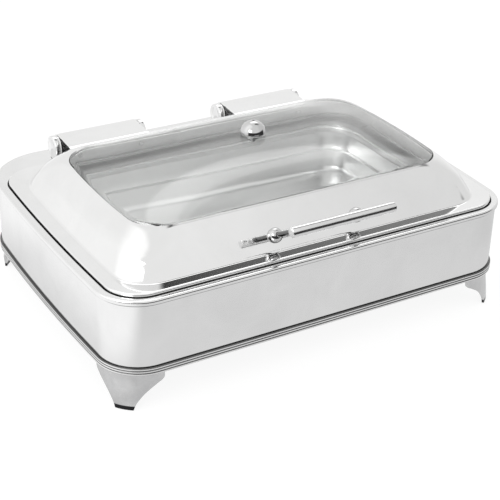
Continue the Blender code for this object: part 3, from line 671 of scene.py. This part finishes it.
def make_lid():
    rise = smooth_run(DOME, 8)
    outer = [("s", 0.0, 0.0, LEDGE_Z + GAP), ("s", 0.0, 0.0, FLANGE_Z - 0.0034)]
    outer += [("s", -d, 0.0, z) for d, z in arc(-0.0020, FLANGE_Z - 0.0024, 0.0020, 0, 90, 6)]
    outer += [("s", 0.0030, 0.0, FLANGE_Z - 0.00036), ("d", -0.0040, -0.0040, FLANGE_Z - 0.00004),
              ("d", -0.0022, -0.0022, FLANGE_Z), ("d", -0.0012, -0.0012, FLANGE_Z + 0.0002),
              ("d", -0.0004, -0.0004, FLANGE_Z + 0.0007), ("d", 0.0004, 0.0004, FLANGE_Z + 0.0013)]
    outer += [("d", d, r, z) for d, r, z in rise]

    def ring(kind, d, rear, z):
        return (skirt_line(d) if kind == "s" else dome_line(d, rear), z)

    rings = [ring(*p) for p in outer]
    rings += [(window_line(-0.0010), 0.21195), (window_line(-0.0003), 0.21235),
              (window_line(0.0), 0.2119),
              (window_line(0.0), 0.2076), (window_line(0.0004), 0.2072),
              (window_line(0.0032), 0.2072),
              (window_line(0.0032), 0.2062), (window_line(-0.0010), 0.2062),
              (window_line(-0.0010), 0.2092)]
    inner = []
    for i in range(len(rise) - 2, -1, -1):
        a, b = rise[max(i - 1, 0)], rise[min(i + 1, len(rise) - 1)]
        size = math.hypot(b[0] - a[0], b[2] - a[2])
        nx, nz = SHEET * (b[2] - a[2]) / size, SHEET * (b[0] - a[0]) / size
        inner.append(("d", rise[i][0] + nx, rise[i][1] + nx, rise[i][2] - nz))
    inner = [p for p in inner if p[1] < 0.0425]
    rings += [ring(*p) for p in inner]
    rings += [(dome_line(0.0004, 0.0004), FLANGE_Z - SHEET + 0.0010),
              (dome_line(-0.0006, -0.0006), FLANGE_Z - SHEET + 0.0002),
              (dome_line(-0.0022, -0.0022), FLANGE_Z - SHEET),
              (skirt_line(0.0030), FLANGE_Z - SHEET),
              (skirt_line(0.0016), FLANGE_Z - 0.0014), (skirt_line(SHEET), FLANGE_Z - 0.0024),
              (skirt_line(SHEET), LEDGE_Z + GAP)]
    obj = piece("lid_pressed", stack(rings, closed=True), LID, "lid", ["lid_shell"],
                42.0)
    around = len(rings[0][0])
    shade_rings(obj, around, LINING, range(len(outer) + 6, len(rings)))
    shade_rings(obj, around, SHADE, (0, len(outer) + 2))


def crown(x, y):
    half_x = WIN_A - 0.0011
    half_y = 0.5 * (WIN_B - WIN_F) - 0.0011
    mid = 0.5 * (WIN_F + WIN_B)
    rise = 1.0 - min(abs(x) / half_x, 1.0) ** CROWN_POWER_X
    return CROWN * rise * (1.0 - min(abs(y - mid) / half_y, 1.0) ** CROWN_POWER_Y)


def make_glass():
    first = window_line(0.0003)

    def layer(k, z0):
        line = []
        heights = []
        for x, y in first:
            px, py = x * k, y * k + VENT_Y * (1.0 - k)
            line.append((px, py))
            heights.append(z0 + crown(px, py))
        return line, heights

    steps = [0.99, 0.975, 0.95, 0.92, 0.88, 0.84, 0.79, 0.73, 0.66, 0.58, 0.49, 0.39, 0.28,
             0.17, 0.08]
    hole = []
    for x, y in first:
        ang = math.atan2(y - VENT_Y, x)
        hole.append((VENT_HOLE_R * math.cos(ang), VENT_Y + VENT_HOLE_R * math.sin(ang)))
    tops = [layer(k, WIN_Z) for k in steps]
    unders = [layer(k, WIN_Z - GLASS_T) for k in reversed(steps)]
    rings = [(first, WIN_Z - 0.0008)] + tops
    rings += [(hole, WIN_Z + CROWN), (hole, WIN_Z + CROWN - GLASS_T)]
    rings += unders + [(first, WIN_Z - 0.0042)]
    piece("window_crowned", stack(rings, closed=True), WINDOW, "lid", ["lid_glass"],
          50.0)


def make_gasket():
    rings = [(window_line(0.0022), 0.2075), (window_line(0.0003), 0.2075),
             (window_line(0.0002), 0.2083), (window_line(0.0004), 0.2086),
             (window_line(0.0007), 0.2087), (window_line(0.0022), 0.2087)]
    piece("window_seal", stack(rings, closed=True), SEAL_AND_HOLE_SHADE, "lid", ["glass_gasket"],
          60.0)


def make_vent():
    glass_top = WIN_Z + CROWN
    base = glass_top + 0.0016
    height = 0.2648 - base
    r = 0.0178
    profile = [(0.0016, 0.2325), (0.0036, 0.2325), (0.0040, 0.2329), (0.0040, base - 0.0002),
               (0.0168, base - 0.0002), (r - 0.0005, base), (r - 0.0001, base + 0.0004),
               (r, base + 0.0011)]
    for k in range(1, 19):
        ang = math.radians(4.7 * k)
        profile.append((r * math.cos(ang), base + 0.0011 + (height - 0.0012) * math.sin(ang)))
    profile.append((0.0017, 0.2648 - 0.0002))
    profile.append((0.0017, 0.2600))
    obj = piece("vent_button", lathe(profile, upright(0.0, VENT_Y, 0.0), 64, closed=True), BOSS,
                "lid", ["vent_cap"], 40.0)
    # painted shade in the vent's hole: its bore gets the black rubber
    shade_rings(obj, 64, SEAL_AND_HOLE_SHADE, (len(profile) - 2, len(profile) - 1))


def post_frame():
    direction = Vector((0.0, -math.cos(POST_TILT), math.sin(POST_TILT)))
    foot_at = Vector((0.0, BAR_Y, BAR_Z)) - direction * POST_REACH
    return foot_at, direction


def make_handle():
    foot_at, direction = post_frame()
    half = BAR_HALF
    profile = [(0.0030, -half), (BAR_R - 0.0014, -half)]
    profile += [(BAR_R - 0.0014 + 0.0014 * math.sin(a), -half + 0.0014 - 0.0014 * math.cos(a))
                for a in (0.4, 0.8, 1.2, 1.5708)]
    profile += [(BAR_R, -half + 0.010), (BAR_R, half - 0.010)]
    profile += [(BAR_R - 0.0014 + 0.0014 * math.sin(a), half - 0.0014 + 0.0014 * math.cos(a))
                for a in (1.5708, 1.2, 0.8, 0.4)]
    profile += [(BAR_R - 0.0014, half), (0.0030, half)]
    piece("grip_bar", lathe(profile, along_x(0.0, BAR_Y, BAR_Z), 64), GRIP, "lid", ["handle_bar"],
          40.0)
    for side, tag in ((-1, "l"), (1, "r")):
        p = foot_at + Vector((side * POST_X, 0.0, 0.0))
        place = aimed(p.x, p.y, p.z, direction)
        stem = [(0.0026, -0.0085), (0.0034, -0.0078), (0.0034, 0.0090), (0.0034, 0.0140),
                (0.0034, 0.0560), (0.0034, 0.0660)]
        # the studs take the darkened chrome, a painted dark reflection
        piece("stud_" + tag, lathe(stem, place, 40), STUD_SHADE_CHROME, "lid", ["handle_post_" + tag],
              50.0)
        collar = [(0.0036, 0.0562), (0.0050, 0.0564), (0.0056, 0.0570), (0.0057, 0.0580),
                  (0.0057, 0.0606), (0.0052, 0.0614), (0.0044, 0.0618), (0.0044, 0.0650),
                  (0.0036, 0.0650)]
        piece("stud_collar_" + tag, lathe(collar, place, 40, closed=True), CHROME, "lid", [],
              50.0)
        dome = [(0.0037, 0.0004), (0.0098, 0.0004), (0.0101, 0.0008), (0.0101, 0.0014)]
        dome += [(0.0100 * math.cos(math.radians(a)), 0.0014 + 0.0090 * math.sin(math.radians(a)))
                 for a in range(6, 67, 6)]
        dome += [(0.0037, 0.0098)]
        piece("rosette_" + tag, lathe(dome, place, 56, closed=True), BOSS, "lid",
              ["handle_rosette_" + tag], 50.0)


# ---- hinges ---------------------------------------------------------------

def hinge_cap_solid(side, x_in, x_out):
    r = 0.0172
    steps = 56
    section = []
    for k in range(steps):
        ang = math.radians(-50.0 + 280.0 * k / (steps - 1))
        section.append((r * math.cos(ang), r * math.sin(ang)))
    flat = RIM_Z + GAP - HINGE_Z
    section.append((section[-1][0], flat))
    section.append((section[0][0], flat))
    rings = []
    sign = 1.0 if x_out > x_in else -1.0
    rows = [(x_in, 0.985), (x_in + sign * 0.0003, 1.0), (x_out - sign * 0.0014, 1.0)]
    rows += [(x_out - sign * 0.0014 * (1.0 - math.sin(a)), 1.0 - 0.0814 * (1.0 - math.cos(a)))
             for a in (0.35, 0.7, 1.05, 1.4)]
    rows += [(x_out, 0.90), (x_out, 0.72)]
    rows += [(x_out - sign * 0.0003, 0.70), (x_out - sign * 0.0003, 0.2)]
    for x, scale in rows:
        line = []
        for y, z in section:
            zz = z if z <= flat + 1e-9 else z * scale
            line.append((side * x, HINGE_Y + y * scale, HINGE_Z + zz))
        rings.append(line)
    n = len(section)
    verts = [v for line in rings for v in line]
    faces = []
    for i in range(len(rings) - 1):
        for k in range(n):
            m = (k + 1) % n
            faces.append((i * n + k, i * n + m, (i + 1) * n + m, (i + 1) * n + k))
    faces.append(tuple(range(n)))
    faces.append(tuple((len(rings) - 1) * n + k for k in range(n)))
    return verts, faces


def wall_frame():
    """Where the leaf screws cross the dome's rear wall, and the way out of that wall."""
    run = Vector((0.0, WALL_RUN, -WALL_FALL)).normalized()
    centre = Vector((0.0, WALL_Y - (0.1790 - WALL_Z) * WALL_RUN / WALL_FALL, 0.1790))
    return centre, Vector((0.0, -run.z, run.y))


def leaf_section():
    mid_r = 0.0166 + 0.5 * LEAF_T
    mid = []
    for k in range(13):
        ang = math.radians(25.0 + 70.0 * k / 12)
        mid.append(Vector((HINGE_Y + mid_r * math.cos(ang), HINGE_Z + mid_r * math.sin(ang))))
    normal = wall_frame()[1]
    stand = GAP + 0.5 * LEAF_T

    def on_wall(z):
        y = WALL_Y - (z - WALL_Z) * WALL_RUN / WALL_FALL
        return Vector((y + normal.y * stand, z + normal.z * stand))
    knee = on_wall(0.1856)
    bend = spline([tuple(mid[-1]), (knee.x + 0.0120, 0.19095), (knee.x + 0.0046, 0.18925),
                   (knee.x + 0.0012, 0.1882), tuple(knee), tuple(on_wall(0.1830))], 3)
    mid += [Vector(p) for p in bend[1:]]
    mid.append(on_wall(0.1780))
    mid.append(on_wall(0.1732))
    above = []
    below = []
    for i, p in enumerate(mid):
        a, b = mid[max(i - 1, 0)], mid[min(i + 1, len(mid) - 1)]
        d = (b - a).normalized()
        m = Vector((-d.y, d.x))
        above.append(p - m * 0.5 * LEAF_T)
        below.append(p + m * 0.5 * LEAF_T)
    return [(v.x, v.y) for v in above] + [(v.x, v.y) for v in reversed(below)]


def prism(section, xs):
    n = len(section)
    verts = [(x, y, z) for x in xs for y, z in section]
    faces = []
    for i in range(len(xs) - 1):
        for k in range(n):
            m = (k + 1) % n
            faces.append((i * n + k, i * n + m, (i + 1) * n + m, (i + 1) * n + k))
    half = n // 2
    for base in (0, (len(xs) - 1) * n):
        for k in range(half - 1):
            faces.append((base + k, base + k + 1, base + n - 2 - k, base + n - 1 - k))
    return verts, faces


def screw_solid(place, head_r, head_h, shank_r, length):
    profile = [(0.0002, -head_h)]
    for k in range(1, 9):
        a = math.radians(90.0 - 10.6 * k)
        profile.append((head_r * math.cos(a), -head_h * (0.12 + 0.88 * math.sin(a))))
    profile += [(head_r, 0.0), (shank_r, 0.0), (shank_r, length)]
    return lathe(profile, place, 28)


def make_hinge(tag, mid):
    side = -1 if mid < 0.0 else 1
    near, far = abs(mid) - HINGE_HALF, abs(mid) + HINGE_HALF
    for part, x_in, x_out in (("in", near + CAP_T, near), ("out", far - CAP_T, far)):
        piece("hinge_end_%s_%s" % (tag, part), hinge_cap_solid(side, x_in, x_out), CHROME, "body",
              ["hinge_cap_%s_%s" % (tag, part)], 50.0)
    half = HINGE_HALF - CAP_T - GAP
    drum = [(BORE_R, -half), (DRUM_R - 0.0006, -half), (DRUM_R - 0.0002, -half + 0.0002),
            (DRUM_R, -half + 0.0006), (DRUM_R, -half + 0.004), (DRUM_R, half - 0.004),
            (DRUM_R, half - 0.0006), (DRUM_R - 0.0002, half - 0.0002), (DRUM_R - 0.0006, half),
            (BORE_R, half)]
    barrel = lathe(drum, along_x(mid, HINGE_Y, HINGE_Z), 64, closed=True)
    piece("hinge_barrel_" + tag, barrel, CHROME, "lid", ["hinge_drum_" + tag], 50.0)
    xs = [mid + t * LEAF_HALF for t in (-1.0, -0.98, -0.5, 0.0, 0.5, 0.98, 1.0)]
    leaf = piece("hinge_plate_" + tag, prism(leaf_section(), xs), LID, "lid", ["hinge_leaf_" + tag],
                 50.0)
    bevel(leaf, 0.0003, 2, 60.0)
    centre, normal = wall_frame()
    spots = sorted((mid + s * LEAF_SCREW for s in (-1, 1)), key=abs)
    for i, x in enumerate(spots):
        head = aimed(x, centre.y, centre.z, normal) @ Matrix.Translation((0, 0, -0.0013))
        piece("plate_screw_%s_%d" % (tag, i + 1), screw_solid(head, 0.0038, 0.0024, 0.0019, 0.0036),
              SCREW, "lid", ["leaf_screw_%s_%d" % (tag, i + 1)], 50.0)


# ---- carried-over nodes ---------------------------------------------------

def dress():
    looks = {"base_cover": COVER, "heater_plate": HEATER, "power_inlet": INLET,
             "vent_washer": SEAL_AND_HOLE_SHADE, "vent_nut": CHROME, "handle_nut_l": CHROME,
             "handle_nut_r": CHROME}
    for name, obj in NODES.items():
        mat = looks.get(name, SCREW)
        for slot in obj.material_slots:
            slot.link = "DATA"
            slot.material = mat


# ---- studio ---------------------------------------------------------------

def make_camera():
    az, el, roll = (math.radians(angle) for angle in CAMERA_ANGLES)
    right = Vector((math.cos(az), math.sin(az), 0.0))
    up = Vector((-math.sin(az) * math.sin(el), math.cos(az) * math.sin(el), math.cos(el)))
    back = Vector((math.sin(az) * math.cos(el), -math.cos(az) * math.cos(el), math.sin(el)))
    r2 = right * math.cos(roll) + up * math.sin(roll)
    u2 = up * math.cos(roll) - right * math.sin(roll)
    data = bpy.data.cameras.new("camera")
    cam = bpy.data.objects.new("camera", data)
    bpy.context.scene.collection.objects.link(cam)
    turn = Matrix((r2, u2, back)).transposed().to_4x4()
    turn.translation = Vector(CAMERA_AT)
    cam.matrix_world = turn
    data.sensor_width = SENSOR
    data.lens = CAMERA_LENS
    data.clip_end = 100.0
    bpy.context.scene.camera = cam


def plane(name, half, z):
    mesh = bpy.data.meshes.new(name)
    mesh.from_pydata([(-half, -half, z), (half, -half, z), (half, half, z), (-half, half, z)], [],
                     [(0, 1, 2, 3)])
    obj = bpy.data.objects.new(name, mesh)
    bpy.context.scene.collection.objects.link(obj)
    return obj


def make_floor():
    """A pale floor for the camera, and a second plane that only reflections see, with its own
    tones: lighter to the left and the rear, dark far out in front."""
    floor = plane("floor", 14.0, -0.0002)
    mat = bpy.data.materials.new("pale_floor")
    mat.use_nodes = True
    tree = mat.node_tree
    tree.nodes.clear()
    out = node(tree, "ShaderNodeOutputMaterial")
    add = node(tree, "ShaderNodeAddShader")
    glow = node(tree, "ShaderNodeEmission")
    glow.inputs["Color"].default_value = (1.0, 1.0, 1.0, 1.0)
    glow.inputs["Strength"].default_value = FLOOR_GLOW
    matt = node(tree, "ShaderNodeBsdfDiffuse")
    matt.inputs["Color"].default_value = (FLOOR_MATT, FLOOR_MATT, FLOOR_MATT, 1.0)
    link(tree, glow.outputs[0], add.inputs[0])
    link(tree, matt.outputs[0], add.inputs[1])
    link(tree, add.outputs[0], out.inputs["Surface"])
    floor.data.materials.append(mat)
    floor.visible_glossy = False
    sheen = plane("floor_reflected", 1.7, -0.0006)
    mat = bpy.data.materials.new("floor_tone")
    mat.use_nodes = True
    tree = mat.node_tree
    tree.nodes.clear()
    out = node(tree, "ShaderNodeOutputMaterial")
    glow = node(tree, "ShaderNodeEmission")
    coord = node(tree, "ShaderNodeTexCoord")
    split = node(tree, "ShaderNodeSeparateXYZ")
    link(tree, coord.outputs["Object"], split.inputs[0])
    left = remap(tree, split.outputs["X"], -0.31, -0.45, 0.0, 0.30, smooth=True)
    right = remap(tree, split.outputs["X"], 0.30, 0.55, 0.0, -0.06, smooth=True)
    rear = remap(tree, split.outputs["Y"], 0.20, 0.42, 0.0, 0.20, smooth=True)
    total = math_node(tree, "ADD", math_node(tree, "ADD", left, right),
                      math_node(tree, "ADD", rear, FLOOR_TONE))
    shade = remap(tree, split.outputs["Y"], -0.52, -0.60, 1.0, FLOOR_FRONT, smooth=True)
    total = math_node(tree, "MULTIPLY",
                      math_node(tree, "MINIMUM", total, FLOOR_TONE_MAX), shade)
    link(tree, total, glow.inputs["Strength"])
    link(tree, glow.outputs[0], out.inputs["Surface"])
    sheen.data.materials.append(mat)
    sheen.visible_camera = False
    sheen.visible_diffuse = False
    sheen.visible_shadow = False
    sheen.visible_transmission = False


def make_world():
    """Staged studio surround, by the direction that metal reflects: lighter to the left, a bright
    box high at the rear right, a dimmer right-hand side, a dark patch high up and a dark low edge
    in front. It is set for the camera's own view."""
    world = bpy.data.worlds.new("studio")
    bpy.context.scene.world = world
    world.use_nodes = True
    tree = world.node_tree
    tree.nodes.clear()
    out = node(tree, "ShaderNodeOutputWorld")
    back = node(tree, "ShaderNodeBackground")
    coord = node(tree, "ShaderNodeTexCoord")
    split = node(tree, "ShaderNodeSeparateXYZ")
    link(tree, coord.outputs["Generated"], split.inputs[0])
    x, y, z = split.outputs

    def step(value, a, b):
        return remap(tree, value, a, b, 0.0, 1.0, smooth=True)

    def all_of(*steps):
        total = steps[0]
        for other in steps[1:]:
            total = math_node(tree, "MULTIPLY", total, other)
        return total

    slant = math_node(tree, "SUBTRACT", y, math_node(tree, "MULTIPLY", z, 0.78))
    regions = [(0.26, all_of(step(x, -0.10, -0.26), step(slant, -1.00, -0.82), step(y, 0.75, 0.25),
                             step(z, 0.05, 0.24))),
               (1.30, all_of(step(x, 0.0, 0.1), step(y, 0.33, 0.42), step(y, 0.71, 0.64),
                             step(z, 0.56, 0.64), step(z, 0.90, 0.84))),
               (0.06, step(x, -0.45, -0.60)),
               (-0.12, all_of(step(x, 0.40, 0.58), step(y, 0.60, 0.20))),
               (0.06, all_of(step(x, 0.05, -0.25), step(y, 0.0, 0.20))),
               (0.04, all_of(step(y, 0.3, 0.6), step(x, 0.25, 0.40)))]
    total = SURROUND
    for gain, where in regions:
        total = math_node(tree, "ADD", math_node(tree, "MULTIPLY", where, gain), total)
    patch = all_of(step(y, 0.00, 0.03), step(y, 0.27, 0.22), step(x, 0.24, 0.36),
                   step(x, 0.72, 0.64), step(z, 0.50, 0.60), remap(tree, x, 0.38, 0.60, 1.0, 0.66))
    edge = all_of(step(z, 0.30, 0.24), step(y, -0.15, -0.40))
    for cut, where in ((PATCH_CUT, patch), (EDGE_CUT, edge)):
        keep = math_node(tree, "ADD", math_node(tree, "MULTIPLY", where, cut), 1.0)
        total = math_node(tree, "MULTIPLY", total, keep)
    link(tree, total, back.inputs["Strength"])
    back.inputs["Color"].default_value = (1.0, 1.0, 0.995, 1.0)
    link(tree, back.outputs[0], out.inputs["Surface"])


def make_light(name, at, size, power):
    data = bpy.data.lights.new(name, "AREA")
    data.shape = "RECTANGLE"
    data.size, data.size_y = size
    data.energy = power
    obj = bpy.data.objects.new(name, data)
    bpy.context.scene.collection.objects.link(obj)
    obj.location = at
    obj.rotation_euler = (Vector(LIGHT_AIM) - Vector(at)).to_track_quat("-Z", "Y").to_euler()


def main():
    make_camera()
    make_floor()
    make_world()
    make_light("soft_left", (-2.4, -1.4, 1.9), (1.6, 1.2), 14.0)
    dress()
    make_body()
    make_bead()
    for tag, sx, sy in (("fl", -1, -1), ("fr", 1, -1), ("rl", -1, 1), ("rr", 1, 1)):
        make_foot(tag, sx, sy)
    make_food_pan()
    make_water_pan()
    make_lid()
    make_glass()
    make_gasket()
    make_vent()
    make_handle()
    for tag, mid in HINGES:
        make_hinge(tag, mid)
    bpy.context.scene.view_settings.view_transform = "Standard"
    light_paths = bpy.context.scene.cycles
    light_paths.max_bounces = 24
    light_paths.glossy_bounces = 16
    light_paths.transmission_bounces = 16


main()
